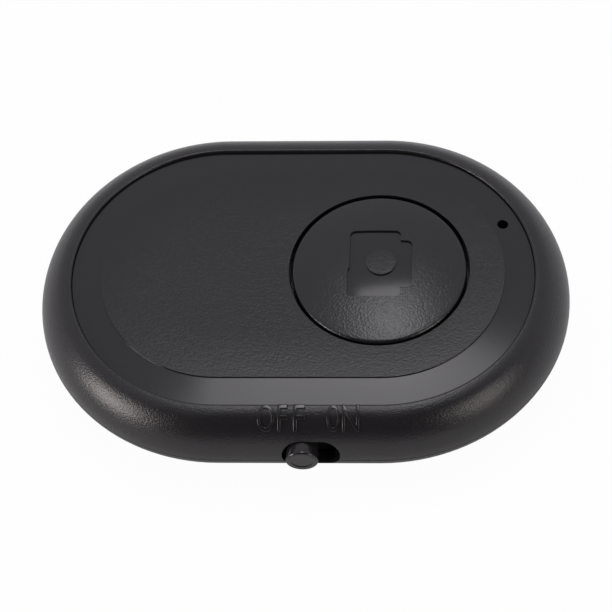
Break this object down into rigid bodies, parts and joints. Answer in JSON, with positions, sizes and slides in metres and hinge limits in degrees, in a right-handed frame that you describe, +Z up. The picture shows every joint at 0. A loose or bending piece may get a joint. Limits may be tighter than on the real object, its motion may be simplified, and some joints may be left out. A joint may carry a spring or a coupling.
{
  "type": "bluetooth camera shutter remote",
  "caption": "Flat oval radio remote with a raised rim, an inset face plate, a round domed shutter button, a lamp hole, a slide switch in its side and a turn-off coin-cell cover.",
  "frame": {"origin": "centre of the flat base the remote lies on, midway along its length and across its width", "axes": "+X along the length towards the shutter button, +Y across the width away from the slide switch, +Z up through the face"},
  "size_m": [0.05, 0.0356, 0.0113],
  "materials": {
    "shell_black": "moulded ABS, satin with a very fine grain",
    "face_black": "moulded ABS, polished band round a finely textured field",
    "button_black": "moulded ABS, satin dome",
    "tape_white": "double-sided tape",
    "board_green": "glass-epoxy board with solder mask",
    "copper_gold": "gold-flashed copper",
    "chip_black": "moulded epoxy",
    "ceramic_tan": "fired ceramic",
    "steel_bright": "tinned or nickel-plated sheet steel",
    "stem_red": "moulded nylon",
    "slider_ivory": "moulded acetal",
    "lamp_clear": "clear resin over a lamp chip",
    "gasket_grey": "moulded polypropylene",
    "cathode_black": "pressed oxide powder",
    "separator_white": "non-woven sheet",
    "lithium_grey": "soft metal disc"
  },
  "bodies": {
    "housing": {"top_shell": "shell_black", "base_shell": "shell_black", "face_plate": "face_black", "face_tape": "tape_white", "circuit_board": "board_green", "antenna_trace": "copper_gold", "positive_contact": "copper_gold", "negative_contact": "copper_gold", "radio_chip": "chip_black", "resistors": "chip_black", "push_switch_case": "chip_black", "slide_switch_base": "chip_black", "capacitors": "ceramic_tan", "crystal": "steel_bright", "board_screws": "steel_bright", "push_switch_cover": "steel_bright", "push_switch_dome": "steel_bright", "push_switch_terminals": "steel_bright", "slide_switch_can": "steel_bright", "slide_switch_pins": "steel_bright", "cell_can": "steel_bright", "cell_cap": "steel_bright", "status_lamp": "lamp_clear", "cell_gasket": "gasket_grey", "cell_cathode": "cathode_black", "cell_separator": "separator_white", "cell_lithium": "lithium_grey"},
    "shutter_button": {"shutter_button": "button_black"},
    "push_stem": {"push_switch_stem": "stem_red"},
    "power_knob": {"switch_knob": "shell_black"},
    "switch_slider": {"slide_switch_slider": "slider_ivory"},
    "battery_cover": {"battery_door": "shell_black"}
  },
  "joints": [
    {"name": "button_press", "type": "slide", "parent": "housing", "child": "shutter_button", "axis": [0, 0, -1], "range_m": [0, 0.0003], "stiffness_N_per_m": 5500, "deforming": ["push_switch_dome"]},
    {"name": "stem_press", "type": "slide", "parent": "housing", "child": "push_stem", "axis": [0, 0, -1], "range_m": [0, 0.0003]},
    {"name": "power_slide", "type": "slide", "parent": "housing", "child": "power_knob", "axis": [1, 0, 0], "range_m": [0, 0.0016]},
    {"name": "slider_slide", "type": "slide", "parent": "housing", "child": "switch_slider", "axis": [1, 0, 0], "range_m": [0, 0.0016]},
    {"name": "cover_turn", "type": "hinge", "parent": "housing", "child": "battery_cover", "pos_m": [-0.005, 0, 0], "axis": [0, 0, -1], "range_deg": [0, 40]}
  ],
  "couplings": [
    {"joint": "stem_press", "follows": "button_press", "ratio": 1},
    {"joint": "slider_slide", "follows": "power_slide", "ratio": 1}
  ]
}
